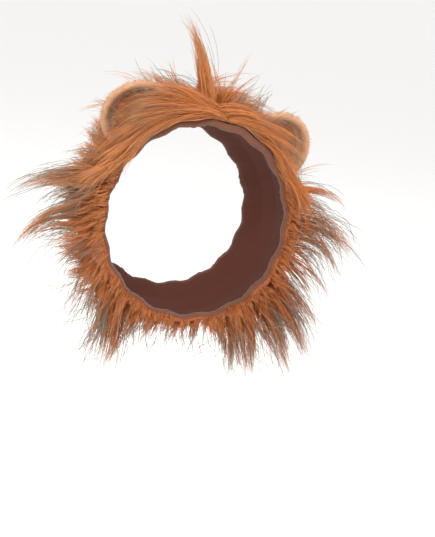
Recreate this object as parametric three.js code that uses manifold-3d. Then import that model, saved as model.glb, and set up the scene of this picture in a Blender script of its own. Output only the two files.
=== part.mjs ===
// Lion mane costume: a gathered cloth hood with a hem at the face and at the neck, a mane of
// long pile locks round it, and two cupped plush ears.
// Millimetres, +Z up. The face opening looks along -Y, so +X is the hood's own left. The origin
// is the inner top of the hood, where it is carried. A clock angle is in degrees from the top
// towards +X.

import * as THREE from "three";
import { mergeVertices } from "three/addons/utils/BufferGeometryUtils.js";
import Module from "manifold-3d";

// Hood, measured inside the cloth
const crownWidth = 186;
const crownHeight = 188;
const faceWidth = 170;
const faceHeight = 178;
const neckWidth = 160;
const neckHeight = 158;
const hoodDepthTop = 112;
const hoodDepthChin = 84;
const crownShare = 0.42;
const chinSetback = 6;
const clothWall = 2;
const gatherCount = 18;
const gatherHeight = 1.1;

// Hems
const hemRise = 7;
const faceHemDepth = 8;
const neckHemDepth = 10;
const hemInset = 0.8;

// Fur
const pileLength = 92;
const undercoatDepth = 23;
const lipReach = 7;
const lipDrop = 4;
const lipOverhang = 1.6;
const lumpHeight = 2.2;
const lockWidth = 34;
const lockFlatness = 0.5;
const lockSides = 4;
const lockRootShare = 0.3;
const lockDroop = 0.5;
const lockRows = [0.07, 0.15];

// How much the locks behind the face differ: clock angle, lean, bend and tip back in degrees, and
// reach as a share
const scatterClock = 5;
const scatterLean = 12;
const scatterBend = 26;
const scatterBack = 6;
const scatterReach = 0.18;

// Ears
const earWidth = 78;
const earHeight = 70;
const earCentreRise = 15;
const earClock = 41;
const earSkew = 6;
const earSetback = 20;
const earTurn = 22;
const earDish = 10;
const earWall = 5;
const earRim = 7;
const earPanelWall = 3;
const earPanelShare = 0.74;

// Fits and facets
const seamGap = 0.3;
const panelGap = 0.4;
const furClearance = 0.5;
const coreOverrun = 3;
const hoodFacets = 4 * gatherCount;
const furFacets = 2 * gatherCount;
const earFacets = 16;

const ringCentreZ = -crownHeight / 2;
const faceEdgeY = -crownShare * hoodDepthTop;

// Sections of the hood from the face edge to the neck edge. `at` is a share of the depth, `face`
// and `neck` say how much of the face's and the neck's girth a section takes, the crown's being
// the rest, and `gather` is the share of the gathers' height.
const hoodSections = [
  { at: 0.0, face: 1.0, neck: 0.0, gather: 1.0 },
  { at: 0.15, face: 0.4, neck: 0.0, gather: 0.5 },
  { at: crownShare, face: 0.0, neck: 0.0, gather: 0.0 },
  { at: 0.72, face: 0.0, neck: 0.3, gather: 0.2 },
  { at: 0.9, face: 0.0, neck: 0.8, gather: 0.7 },
  { at: 1.0, face: 0.0, neck: 1.0, gather: 1.0 },
];

// Padded rim of an ear: `out` is a share of half the ear's width and `up` of earRim.
const earRoll = [
  { out: 0.97, up: -0.3 },
  { out: 1.0, up: 0.15 },
  { out: 0.95, up: 0.6 },
  { out: 0.86, up: 0.7 },
  { out: 0.79, up: 0.3 },
];

// Loop of a folded hem: `deep` is a share of its depth and `rise` of hemRise.
const hemFold = [
  { deep: 0.0, rise: 0.12 },
  { deep: 0.0, rise: 0.8 },
  { deep: 0.45, rise: 1.0 },
  { deep: 0.95, rise: 0.75 },
  { deep: 1.0, rise: 0.3 },
  { deep: 0.6, rise: 0.0 },
];

// Lip of the dense fur at the face hem: `up` is a share of the way from the hem to the fur's top,
// and `fold` of lipDrop. How far ahead a corner lies is a share of lipReach where the hem shows,
// at the `brow`, and of the way past the hem where the fur folds `over` it.
const lipFold = [
  { up: 0.0, fold: 0, brow: 0.0, over: 0.0 },
  { up: 0.02, fold: 0, brow: 0.1, over: 0.92 },
  { up: 0.05, fold: 1, brow: 0.3, over: 1.0 },
  { up: 0.3, fold: 0, brow: 1.0, over: 1.2 },
  { up: 0.8, fold: 0, brow: 0.75, over: 0.8 },
];

// How far the lip covers the hem round the ring.
const hemCover = [
  { clock: -180, cover: 1 },
  { clock: -52, cover: 1 },
  { clock: -36, cover: 0 },
  { clock: 42, cover: 0 },
  { clock: 58, cover: 1 },
  { clock: 180, cover: 1 },
];

// Waves that make the dense fur lumpy: waves round the ring, and radians over the hood's depth.
const lumpWaves = [
  { round: 7, back: 9 },
  { round: 11, back: -7 },
];

// Depth of the dense fur round the ring, as a share of undercoatDepth.
const undercoatRound = [
  { clock: -180, deep: 0.32 },
  { clock: -165, deep: 0.45 },
  { clock: -142, deep: 0.9 },
  { clock: -120, deep: 0.75 },
  { clock: -92, deep: 0.5 },
  { clock: -72, deep: 0.5 },
  { clock: -60, deep: 0.5 },
  { clock: -28, deep: 0.6 },
  { clock: -16, deep: 0.95 },
  { clock: 10, deep: 1.0 },
  { clock: 24, deep: 0.6 },
  { clock: 60, deep: 0.55 },
  { clock: 88, deep: 0.5 },
  { clock: 118, deep: 0.7 },
  { clock: 142, deep: 1.0 },
  { clock: 165, deep: 0.5 },
  { clock: 180, deep: 0.32 },
];

// Dense fur from the face back to the neck: `at` is a share of the hood's depth.
const undercoatBack = [
  { at: 0.08, deep: 0.85 },
  { at: 0.28, deep: 1.0 },
  { at: 0.55, deep: 1.0 },
  { at: 0.8, deep: 0.85 },
  { at: 0.96, deep: 0.5 },
];

// Locks along the face. `reach` is a share of pileLength and `width` of lockWidth. `lean` turns a
// lock round the ring and `bend` adds to that by its tip. `back` tips it towards the neck. All
// three are in degrees, and a lean or bend above zero goes towards a higher clock angle. The
// first four lie along the brow, to both sides of the parting, and are rooted ahead on the lip.
const faceLocks = [
  { clock: -12, reach: 0.8, lean: -80, bend: -30, back: -6, width: 0.8, ahead: 6 },
  { clock: -34, reach: 0.66, lean: -76, bend: -26, back: -4, width: 0.7, ahead: 6 },
  { clock: 13, reach: 0.76, lean: 68, bend: 32, back: -6, width: 0.8, ahead: 6 },
  { clock: 34, reach: 0.64, lean: 74, bend: 24, back: -4, width: 0.7, ahead: 6 },
  { clock: -2, reach: 0.98, lean: -4, bend: -20, back: 4, width: 0.5 },
  { clock: 5, reach: 0.86, lean: -64, bend: -14, back: -12, width: 1.0 },
  { clock: 13, reach: 0.4, lean: 14, bend: 20, back: 12, width: 0.7 },
  { clock: -15, reach: 0.56, lean: -46, bend: -24, back: 4, width: 0.9 },
  { clock: -62, reach: 0.56, lean: 4, bend: -43, back: 6, width: 0.5 },
  { clock: -73, reach: 0.9, lean: -8, bend: -34, back: 6, width: 1.0 },
  { clock: -79, reach: 0.63, lean: -10, bend: -40, back: 4, width: 0.9 },
  { clock: -87, reach: 0.66, lean: 0, bend: -43, back: 4, width: 0.8 },
  { clock: -96, reach: 0.8, lean: 20, bend: -62, back: 4, width: 1.0 },
  { clock: -108, reach: 0.52, lean: -12, bend: -14, back: 8, width: 0.6 },
  { clock: -121, reach: 0.72, lean: -40, bend: -2, back: 8, width: 0.8 },
  { clock: -133, reach: 0.82, lean: -35, bend: 3, back: 6, width: 0.9 },
  { clock: -144, reach: 0.86, lean: -38, bend: 16, back: 4, width: 1.3 },
  { clock: -154, reach: 0.42, lean: -14, bend: 10, back: 4, width: 0.8 },
  { clock: -168, reach: 0.36, lean: 16, bend: -4, back: 8, width: 0.5 },
  { clock: -177, reach: 0.3, lean: 10, bend: -20, back: 14, width: 0.5 },
  { clock: 169, reach: 0.32, lean: 8, bend: 4, back: 12, width: 0.6 },
  { clock: 158, reach: 0.44, lean: 2, bend: 0, back: 6, width: 0.8 },
  { clock: 151, reach: 0.7, lean: 10, bend: 4, back: 8, width: 1.0 },
  { clock: 143, reach: 0.86, lean: 16, bend: 2, back: 8, width: 1.3 },
  { clock: 132, reach: 1.08, lean: 10, bend: 6, back: 6, width: 1.2 },
  { clock: 124, reach: 1.05, lean: 6, bend: 14, back: 8, width: 0.9 },
  { clock: 116, reach: 1.0, lean: 0, bend: 26, back: 8, width: 0.8 },
  { clock: 104, reach: 0.92, lean: 4, bend: 30, back: 10, width: 0.8 },
  { clock: 94, reach: 0.88, lean: -6, bend: 50, back: 8, width: 0.9 },
  { clock: 82, reach: 1.1, lean: 4, bend: 52, back: 8, width: 0.8 },
  { clock: 69, reach: 0.86, lean: -6, bend: 58, back: 6, width: 0.8 },
];

// Rows of locks behind the face: `count` locks spread from one clock angle to the other.
const backRows = [
  { at: 0.28, count: 11, from: -172, to: 154, reach: 0.46, back: 54, width: 1.5 },
  { at: 0.52, count: 10, from: -154, to: 172, reach: 0.56, back: 62, width: 1.7 },
  { at: 0.76, count: 9, from: -174, to: 148, reach: 0.62, back: 70, width: 1.8 },
];

// Reach of the locks behind the face round the ring, as a share of their row's.
const backRound = [
  { clock: -180, reach: 0.6 },
  { clock: -90, reach: 0.8 },
  { clock: -50, reach: 0.78 },
  { clock: 0, reach: 0.74 },
  { clock: 50, reach: 0.72 },
  { clock: 90, reach: 0.85 },
  { clock: 180, reach: 0.6 },
];

// Width of a lock along its length, as shares, at the face and behind it.
const faceTaper = [
  { along: 0, wide: 0.9 },
  { along: 0.25, wide: 1.0 },
  { along: 0.55, wide: 0.68 },
  { along: 0.82, wide: 0.3 },
];
const backTaper = [
  { along: 0, wide: 0.9 },
  { along: 0.38, wide: 0.95 },
  { along: 0.76, wide: 0.45 },
];

const wasm = await Module();
wasm.setup();

function radians(degrees) {
  return THREE.MathUtils.degToRad(degrees);
}

// Value of a column at x, straight between the rows of a table sorted by its key.
function lookUp(table, key, column, x) {
  const next = Math.max(1, table.findIndex((row) => row[key] >= x));
  const low = table[next - 1];
  const high = table[next];
  const share = (x - low[key]) / (high[key] - low[key]);
  return THREE.MathUtils.lerp(low[column], high[column], THREE.MathUtils.clamp(share, 0, 1));
}

function wrapClock(clock) {
  return THREE.MathUtils.euclideanModulo(clock + 180, 360) - 180;
}

// Point on the hood: `share` of the depth, clock angle, and `out` beyond the inner face.
function hoodPoint(share, clock, out) {
  const angle = radians(clock);
  const low = (1 - Math.cos(angle)) / 2;
  const face = lookUp(hoodSections, "at", "face", share);
  const neck = lookUp(hoodSections, "at", "neck", share);
  const crown = 1 - face - neck;
  const width = face * faceWidth + neck * neckWidth + crown * crownWidth;
  const height = face * faceHeight + neck * neckHeight + crown * crownHeight;
  const gather = gatherHeight * lookUp(hoodSections, "at", "gather", share);
  const ripple = gather * Math.cos(gatherCount * angle);
  const depth = THREE.MathUtils.lerp(hoodDepthTop, hoodDepthChin, low);
  return new THREE.Vector3(
    (width / 2 + ripple + out) * Math.sin(angle),
    faceEdgeY + chinSetback * low + depth * share,
    ringCentreZ + (height / 2 + ripple + out) * Math.cos(angle),
  );
}

// Point a smooth distance outside the crests of the gathers, for what lies round the cloth.
function overHood(share, clock, out) {
  const angle = radians(clock);
  const gather = gatherHeight * lookUp(hoodSections, "at", "gather", share);
  const crest = gather * (1 - Math.cos(gatherCount * angle));
  return hoodPoint(share, clock, clothWall + crest + out);
}

function geometryFrom(points, triangles) {
  const geometry = new THREE.BufferGeometry();
  const places = points.flatMap((point) => [point.x, point.y, point.z]);
  geometry.setAttribute("position", new THREE.Float32BufferAttribute(places, 3));
  geometry.setIndex(triangles.flat());
  return geometry;
}

// Closed ring: `section` gives the loop of points at one clock angle.
function ringGeometry(section, facets) {
  const loops = [];
  for (let i = 0; i < facets; i += 1) {
    loops.push(section(-180 + (360 * i) / facets));
  }
  const around = loops[0].length;
  const triangles = [];
  for (let i = 0; i < facets; i += 1) {
    const next = (i + 1) % facets;
    for (let j = 0; j < around; j += 1) {
      const side = (j + 1) % around;
      const [a, b] = [i * around + j, next * around + j];
      const [c, d] = [next * around + side, i * around + side];
      triangles.push([a, b, c], [a, c, d]);
    }
  }
  return geometryFrom(loops.flat(), triangles);
}

function solidFrom(geometry) {
  const bare = geometry.clone();
  bare.deleteAttribute("normal");
  bare.deleteAttribute("uv");
  const merged = mergeVertices(bare, 1e-4);
  const mesh = new wasm.Mesh({
    numProp: 3,
    vertProperties: new Float32Array(merged.getAttribute("position").array),
    triVerts: new Uint32Array(merged.getIndex().array),
  });
  return new wasm.Manifold(mesh);
}

function geometryOf(solid) {
  const mesh = solid.getMesh();
  const geometry = new THREE.BufferGeometry();
  geometry.setAttribute("position", new THREE.BufferAttribute(mesh.vertProperties, 3));
  geometry.setIndex(new THREE.BufferAttribute(mesh.triVerts, 1));
  return geometry;
}

// Cloth tube from the face edge to the neck edge.
function hoodBacking() {
  return ringGeometry((clock) => {
    const outer = hoodSections.map((row) => hoodPoint(row.at, clock, clothWall));
    const inner = hoodSections.map((row) => hoodPoint(row.at, clock, 0));
    return [...outer, ...inner.reverse()];
  }, hoodFacets);
}

// Folded hem at an edge of the hood: `side` is -1 in front of the face edge, 1 behind the neck.
function hem(share, side, depth) {
  return ringGeometry((clock) => {
    const loop = hemFold.map((corner) => {
      const point = hoodPoint(share, clock, corner.rise * hemRise - hemInset);
      point.y += side * (seamGap + corner.deep * depth);
      return point;
    });
    return side < 0 ? loop.reverse() : loop;
  }, hoodFacets);
}

function furDepth(clock, share) {
  const angle = radians(clock);
  const round = lookUp(undercoatRound, "clock", "deep", wrapClock(clock));
  const back = lookUp(undercoatBack, "at", "deep", THREE.MathUtils.clamp(share, 0.08, 0.96));
  const lumps = lumpWaves.map((wave) => Math.sin(wave.round * angle + wave.back * share));
  return undercoatDepth * round * back + (lumpHeight / 2) * round * (lumps[0] + lumps[1]);
}

// Dense fur round the hood, with a lip that comes forward at the face hem.
function undercoat() {
  const innerSteps = hoodSections.map((row) => THREE.MathUtils.clamp(row.at, 0.02, 0.98));
  const overHem = hemRise - hemInset - clothWall + furClearance;
  const pastHem = faceHemDepth + seamGap + lipOverhang;
  const geometry = ringGeometry((clock) => {
    const top = Math.max(furDepth(clock, 0), overHem + 1);
    const lip = lipReach * Math.min(1, (2 * (top - overHem)) / undercoatDepth);
    const outer = undercoatBack.map((row) => overHood(row.at, clock, furDepth(clock, row.at)));
    const inner = innerSteps.map((share) => overHood(share, clock, furClearance + seamGap));
    const cover = lookUp(hemCover, "clock", "cover", clock);
    const front = lipFold.map(({ up, fold, brow, over }) => {
      const out = THREE.MathUtils.lerp(overHem, top, up) - fold * lipDrop * cover;
      const point = overHood(0, clock, out);
      point.y -= THREE.MathUtils.lerp(brow * lip, over * pastHem, cover);
      return point;
    });
    return [...front, ...outer, ...inner.reverse()];
  }, furFacets);
  return solidFrom(geometry);
}

// Tapered, curved lock of pile rooted in the dense fur.
function lock(row) {
  const sides = lockSides;
  const rootDepth = lockRootShare * furDepth(row.clock, row.at);
  const place = overHood(row.at, row.clock, rootDepth + furClearance);
  place.y -= row.ahead;
  const angle = radians(row.clock);
  const outward = new THREE.Vector3(Math.sin(angle), 0, Math.cos(angle));
  const around = new THREE.Vector3(Math.cos(angle), 0, -Math.sin(angle));
  const rearward = new THREE.Vector3(0, 1, 0);
  const heading = (along) => {
    const turn = radians(row.lean + row.bend * along * (1 + lockDroop * along));
    const rise = radians(row.back);
    return new THREE.Vector3()
      .addScaledVector(outward, Math.cos(turn) * Math.cos(rise))
      .addScaledVector(around, Math.sin(turn) * Math.cos(rise))
      .addScaledVector(rearward, Math.sin(rise));
  };
  const points = [];
  const triangles = [];
  let travelled = 0;
  const advance = (along) => {
    const step = (along - travelled) * row.reach * pileLength;
    place.addScaledVector(heading((travelled + along) / 2), step);
    travelled = along;
  };
  for (const { along, wide } of row.taper) {
    advance(along);
    const across = new THREE.Vector3().crossVectors(heading(along), rearward).normalize();
    const thick = new THREE.Vector3().crossVectors(across, heading(along));
    const half = (wide * row.width * lockWidth) / 2;
    for (let k = 0; k < sides; k += 1) {
      const turn = (2 * Math.PI * k) / sides + row.twist;
      const point = place.clone().addScaledVector(across, half * Math.cos(turn));
      points.push(point.addScaledVector(thick, lockFlatness * half * Math.sin(turn)));
    }
  }
  advance(1);
  points.push(place.clone());
  const last = (row.taper.length - 1) * sides;
  for (let k = 0; k < sides; k += 1) {
    const side = (k + 1) % sides;
    for (let i = 0; i < last; i += sides) {
      triangles.push([i + k, i + side + sides, i + side], [i + k, i + k + sides, i + side + sides]);
    }
    triangles.push([last + side, last + k, last + sides]);
    if (k > 0 && k < sides - 1) triangles.push([0, k, side]);
  }
  return solidFrom(geometryFrom(points, triangles));
}

function allLocks() {
  const front = faceLocks.map((row, i) => ({
    ahead: 0,
    ...row,
    at: lockRows[i % 2],
    twist: 0.7 * i,
    taper: faceTaper,
  }));
  const behind = backRows.flatMap((row, r) =>
    Array.from({ length: row.count }, (_, i) => {
      const wave = Math.sin(2.4 * i + 1.7 * r);
      const other = Math.cos(3.1 * i - 0.9 * r);
      const clock = THREE.MathUtils.lerp(row.from, row.to, i / (row.count - 1));
      const round = lookUp(backRound, "clock", "reach", clock);
      return {
        at: row.at,
        clock: clock + scatterClock * other,
        reach: row.reach * round * (1 + scatterReach * wave),
        lean: scatterLean * wave,
        bend: scatterBend * other,
        back: row.back + scatterBack * wave,
        width: row.width,
        ahead: 0,
        twist: i,
        taper: backTaper,
      };
    }),
  );
  return [...front, ...behind];
}

// Turns a disc made face up into an ear in its seat: its face looks ahead and outward, and its
// tip points out of the ring. `side` is 1 for the hood's left ear and -1 for its right.
function placeEar(geometry, side) {
  const clock = side * earClock + earSkew;
  const seat = overHood(0, clock, earCentreRise);
  const tip = new THREE.Vector3(Math.sin(radians(clock)), 0, Math.cos(radians(clock)));
  const face = new THREE.Vector3(0, -1, 0).applyAxisAngle(tip, side * radians(earTurn));
  const across = new THREE.Vector3().crossVectors(tip, face);
  const frame = new THREE.Matrix4().makeBasis(across, tip, face);
  frame.setPosition(seat.x, seat.y + earSetback, seat.z);
  return geometry.applyMatrix4(frame);
}

// Dish turned about its own axis and flattened to the ear's height. The profile holds `out`, a
// share of half the ear's width, and `up`, a height over the plane of the rim.
function earDisc(profile, grow, side) {
  const corners = profile.map(({ out, up }) => {
    const radius = out > 0 ? out * (earWidth / 2) + grow : 0;
    return new THREE.Vector2(radius, up);
  });
  const turned = new THREE.LatheGeometry(corners, earFacets);
  turned.rotateX(Math.PI / 2);
  turned.scale(1, earHeight / earWidth, 1);
  return solidFrom(placeEar(turned, side));
}

// The ear's hollow face, lifted by some height.
function dish(out, lift) {
  return { out, up: lift - earDish * (1 - out ** 2.2) };
}

function earBack(side) {
  const profile = [
    ...[0, 0.5, 0.82].map((out) => dish(out, -earWall)),
    ...earRoll.map(({ out, up }) => ({ out, up: up * earRim })),
    ...[0.76, 0.5, 0].map((out) => dish(out, 0)),
  ];
  return earDisc(profile, 0, side);
}

function earPanel(side) {
  const profile = [
    ...[0, 0.5, earPanelShare].map((out) => dish(out, panelGap)),
    ...[0.5, 0].map((out) => dish(out, earPanelWall)),
  ];
  return earDisc(profile, 0, side);
}

// Room that the fur leaves round an ear.
function earRoom(side) {
  const profile = [
    ...[0, 0.5, 0.82].map((out) => dish(out, -earWall - furClearance)),
    { out: 1, up: -earRim / 3 - furClearance },
    { out: 1, up: earRim },
    { out: 0, up: earRim },
  ];
  return earDisc(profile, furClearance, side);
}

// Solid filling the hood out to just above its cloth, past both hems and round them, which trims
// the roots of the ears and the locks.
function hoodCore() {
  const ring = (share, ahead, out) =>
    Array.from({ length: furFacets }, (_, i) => {
      const point = overHood(share, -180 + (360 * i) / furFacets, out);
      point.y += ahead;
      return point;
    });
  const overHem = hemRise - hemInset - clothWall + furClearance / 2;
  const facePast = -(faceHemDepth + seamGap + furClearance);
  const neckPast = neckHemDepth + seamGap + furClearance;
  const rings = [
    ring(0, coreOverrun * facePast, furClearance),
    ring(0, facePast, furClearance),
    ring(0, facePast, overHem),
    ring(0, 0, overHem),
    ...hoodSections.map((row) => ring(row.at, 0, furClearance)),
    ring(1, 0, overHem),
    ring(1, neckPast, overHem),
    ring(1, neckPast, furClearance),
    ring(1, coreOverrun * neckPast, furClearance),
  ];
  const triangles = [];
  for (let r = 0; r < rings.length - 1; r += 1) {
    for (let i = 0; i < furFacets; i += 1) {
      const next = (i + 1) % furFacets;
      const [a, b] = [r * furFacets + i, r * furFacets + next];
      triangles.push([a, b, b + furFacets], [a, b + furFacets, a + furFacets]);
    }
  }
  const last = (rings.length - 1) * furFacets;
  for (let i = 1; i < furFacets - 1; i += 1) {
    triangles.push([0, i + 1, i], [last, last + i, last + i + 1]);
  }
  return solidFrom(geometryFrom(rings.flat(), triangles));
}

const group = new THREE.Group();

function addPiece(name, geometry, material) {
  const mesh = new THREE.Mesh(geometry, material);
  mesh.name = name;
  group.add(mesh);
}

const knit = new THREE.MeshStandardMaterial({ color: "#8a4a28", roughness: 0.95, metalness: 0 });
const binding = new THREE.MeshStandardMaterial({ color: "#9a5a38", roughness: 0.8, metalness: 0 });
const pile = new THREE.MeshStandardMaterial({ color: "#b8683a", roughness: 0.7, metalness: 0 });
const plush = new THREE.MeshStandardMaterial({ color: "#c08a62", roughness: 0.85, metalness: 0 });
const innerPlush = new THREE.MeshStandardMaterial({ color: "#a5663f", roughness: 0.8, metalness: 0 });

addPiece("hood_backing", hoodBacking(), knit);
addPiece("face_hem", hem(0, -1, faceHemDepth), binding);
addPiece("neck_hem", hem(1, 1, neckHemDepth), binding);

const core = hoodCore();
let fur = undercoat();
for (const row of allLocks()) {
  fur = fur.add(lock(row));
}
for (const [side, ear] of [[1, "ear_left"], [-1, "ear_right"]]) {
  addPiece(`${ear}_back`, geometryOf(earBack(side).subtract(core)), plush);
  addPiece(`${ear}_front`, geometryOf(earPanel(side).subtract(core)), innerPlush);
  fur = fur.subtract(earRoom(side));
}
addPiece("mane_fur", geometryOf(fur.subtract(core)), pile);

export default group;
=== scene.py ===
import math

import bmesh
import bpy
import numpy as np
from mathutils import Matrix, Vector


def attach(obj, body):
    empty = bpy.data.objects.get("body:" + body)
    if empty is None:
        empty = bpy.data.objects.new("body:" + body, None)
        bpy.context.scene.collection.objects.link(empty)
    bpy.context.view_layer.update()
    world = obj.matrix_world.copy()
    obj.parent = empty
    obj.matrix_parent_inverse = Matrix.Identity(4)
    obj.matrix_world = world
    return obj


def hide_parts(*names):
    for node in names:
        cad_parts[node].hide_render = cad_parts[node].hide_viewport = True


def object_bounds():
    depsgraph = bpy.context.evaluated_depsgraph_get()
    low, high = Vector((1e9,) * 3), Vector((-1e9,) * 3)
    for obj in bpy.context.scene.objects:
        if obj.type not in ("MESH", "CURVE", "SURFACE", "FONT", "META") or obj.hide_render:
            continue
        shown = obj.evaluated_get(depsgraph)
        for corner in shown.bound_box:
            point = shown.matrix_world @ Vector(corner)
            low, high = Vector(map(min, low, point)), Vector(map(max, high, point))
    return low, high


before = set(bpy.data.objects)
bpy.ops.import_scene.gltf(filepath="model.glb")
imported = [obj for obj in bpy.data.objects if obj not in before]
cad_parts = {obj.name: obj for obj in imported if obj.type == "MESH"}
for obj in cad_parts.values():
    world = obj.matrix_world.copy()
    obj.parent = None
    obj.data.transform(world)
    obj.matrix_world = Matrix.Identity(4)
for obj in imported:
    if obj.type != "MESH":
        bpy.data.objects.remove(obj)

cad_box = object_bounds()

MM = 0.001
TAU = 2 * math.pi

# Sizes of the hood, as the model has them
CROWN_WIDTH = 186 * MM
CROWN_HEIGHT = 188 * MM
FACE_WIDTH = 170 * MM
FACE_HEIGHT = 178 * MM
NECK_WIDTH = 160 * MM
NECK_HEIGHT = 158 * MM
HOOD_DEPTH_TOP = 112 * MM
HOOD_DEPTH_CHIN = 84 * MM
CROWN_SHARE = 0.42
CHIN_SETBACK = 6 * MM
CLOTH_WALL = 2 * MM
GATHER_COUNT = 18
GATHER_HEIGHT = 1.1 * MM
HEM_RISE = 7 * MM
HEM_INSET = 0.8 * MM
FACE_HEM_DEPTH = 8 * MM
NECK_HEM_DEPTH = 10 * MM
SEAM_GAP = 0.3 * MM
UNDERCOAT_DEPTH = 23 * MM
LIP_REACH = 7 * MM
LIP_DROP = 4 * MM
LIP_OVERHANG = 1.6 * MM
PILE_LENGTH = 92 * MM
LOCK_WIDTH = 34 * MM
EAR_WIDTH = 78 * MM
EAR_HEIGHT = 70 * MM
EAR_CENTRE_RISE = 15 * MM
EAR_CLOCK = 41
EAR_SKEW = 6
EAR_SETBACK = 20 * MM
EAR_TURN = math.radians(22)

RING_CENTRE_Z = -CROWN_HEIGHT / 2
FACE_EDGE_Y = -CROWN_SHARE * HOOD_DEPTH_TOP
HEM_STANDS = HEM_RISE - HEM_INSET

# Sections of the hood: share of the depth, share of the face's girth, of the neck's girth and
# of the gathers' height
HOOD_AT = (0.0, 0.15, CROWN_SHARE, 0.72, 0.9, 1.0)
HOOD_FACE = (1.0, 0.4, 0.0, 0.0, 0.0, 0.0)
HOOD_NECK = (0.0, 0.0, 0.0, 0.3, 0.8, 1.0)
HOOD_GATHER = (1.0, 0.5, 0.0, 0.2, 0.7, 1.0)

# Dense fur round the ring by clock angle, and from the face back
ROUND_CLOCK = (-180, -165, -142, -120, -92, -72, -60, -28, -16, 10, 24, 60, 88, 118, 142, 165, 180)
ROUND_DEEP = (
    0.32, 0.45, 0.9, 0.75, 0.5, 0.5, 0.5, 0.6, 0.95, 1.0, 0.6, 0.55, 0.5, 0.7, 1.0, 0.5, 0.32,
)
BACK_AT = (0.08, 0.28, 0.55, 0.8, 0.96)
BACK_DEEP = (0.85, 1.0, 1.0, 0.85, 0.5)
# How far the fur's lip covers the face hem, which shows at the brow
COVER_CLOCK = (-180, -52, -36, 42, 58, 180)
COVER = (1, 1, 0, 0, 1, 1)
# A run goes over the lip and then back along the cloth, from ROOTS_FROM of its depth on
LIP_RUN = 0.16
LIP_BULGE = 0.7
ROOTS_FROM = 0.02
ROOTS_SPAN = 0.94

# Locks along the face: clock angle, reach as a share of the pile, lean round the ring, bend by
# the tip and tip towards the neck in degrees, width as a share of LOCK_WIDTH, and how full of
# orange pile it is, where a thin one is mostly guard hairs
FACE_LOCKS = (
    (-1, 1.08, -4, -20, 4, 0.42, 3.4),
    (5, 0.86, -64, -24, -12, 1.0, 0.25),
    (13, 0.4, 24, 30, 12, 0.7, 0.2),
    (-15, 0.56, -58, -30, 4, 0.9, 0.4),
    (-62, 0.56, 4, -43, 6, 0.5, 0.4),
    (-67, 0.58, -3, -43, 6, 0.35, 0.3),
    (-73, 0.98, -8, -34, 6, 0.9, 1.1),
    (-79, 0.66, -10, -40, 4, 0.9, 0.3),
    (-87, 0.7, 0, -43, 4, 0.8, 0.3),
    (-96, 0.9, 20, -62, 4, 0.9, 1.1),
    (-108, 0.54, -12, -14, 8, 0.6, 0.15),
    (-121, 0.74, -40, -2, 8, 0.8, 0.2),
    (-133, 0.84, -35, 3, 6, 0.9, 0.35),
    (-144, 0.86, -38, 16, 4, 1.3, 1.2),
    (-154, 0.42, -14, 10, 4, 0.8, 0.8),
    (-168, 0.36, 16, -4, 8, 0.5, 0.8),
    (-177, 0.3, 10, -20, 14, 0.5, 0.8),
    (169, 0.32, 8, 4, 12, 0.6, 0.8),
    (158, 0.44, 2, 0, 6, 0.8, 0.9),
    (151, 0.7, 10, 4, 8, 1.0, 1.0),
    (143, 0.9, 16, 2, 8, 1.2, 1.3),
    (132, 1.1, 10, 6, 6, 1.1, 1.3),
    (124, 1.1, 6, 14, 8, 0.9, 1.2),
    (116, 1.04, 0, 26, 8, 0.8, 0.8),
    (104, 0.92, 4, 30, 10, 0.8, 0.35),
    (94, 0.88, -6, 50, 8, 0.9, 0.7),
    (82, 1.1, 4, 52, 8, 0.8, 0.5),
    (75, 0.6, -2, 50, 8, 0.6, 0.4),
    (69, 0.86, -6, 58, 6, 0.8, 0.7),
    (64, 0.7, -6, 16, 4, 0.3, 0.1),
    # Guard hairs that stand over the crown, with next to no orange pile
    (14, 0.56, 10, 8, 8, 1.4, 0.04),
    (22, 0.5, 4, 8, 12, 1.5, 0.04),
    (31, 0.52, 14, 8, 6, 1.5, 0.04),
    (-11, 0.56, -14, -8, 10, 1.4, 0.04),
    (-22, 0.54, -16, -8, 12, 1.5, 0.04),
    (-34, 0.56, -24, -8, 6, 1.5, 0.04),
)

# Locks along the brow, rooted on the lip: the same columns
BROW_LOCKS = (
    (-10, 0.84, -80, -30, -6, 0.7, 1.0),
    (-30, 0.7, -76, -26, -4, 0.6, 1.0),
    (11, 0.78, 68, 32, -6, 0.7, 1.0),
    (32, 0.66, 74, 24, -4, 0.6, 1.0),
    (-1, 0.94, -48, -36, -8, 0.9, 1.6),
    (-4, 0.96, -57, -36, -8, 1.0, 1.6),
    (-9, 0.94, -64, -36, -8, 1.0, 1.6),
    (2, 0.96, -70, -38, -8, 1.0, 1.6),
    (-14, 0.88, -68, -40, -6, 1.0, 1.4),
    (-22, 0.84, -66, -38, -4, 0.9, 1.4),
    (4, 0.7, 52, 66, -6, 0.8, 1.2),
    (9, 0.7, 60, 56, -6, 0.8, 1.2),
    (18, 0.62, 64, 50, -6, 0.8, 1.2),
)

# Rows of locks behind the face: share of the depth, count, first and last clock angle, reach,
# tip towards the neck, and width
BACK_ROWS = (
    (0.28, 11, -172, 154, 0.46, 54, 1.5),
    (0.52, 10, -154, 172, 0.56, 62, 1.7),
    (0.76, 9, -174, 148, 0.62, 70, 1.8),
)
# Reach of the pile behind the face round the ring, as a share of its row's
BACK_ROUND_CLOCK = (-180, -150, -120, -60, -40, 0, 50, 70, 120, 150, 180)
BACK_ROUND = (0.6, 0.66, 0.5, 0.5, 0.78, 0.74, 0.6, 0.55, 0.6, 0.7, 0.6)
# Degrees by which that pile is brushed flatter towards the neck
FLAT_CLOCK = (-180, -130, -100, -60, -20, 4, 16, 50, 75, 180)
FLAT = (0, 4, 14, 14, 6, 6, 24, 20, 8, 0)

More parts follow.
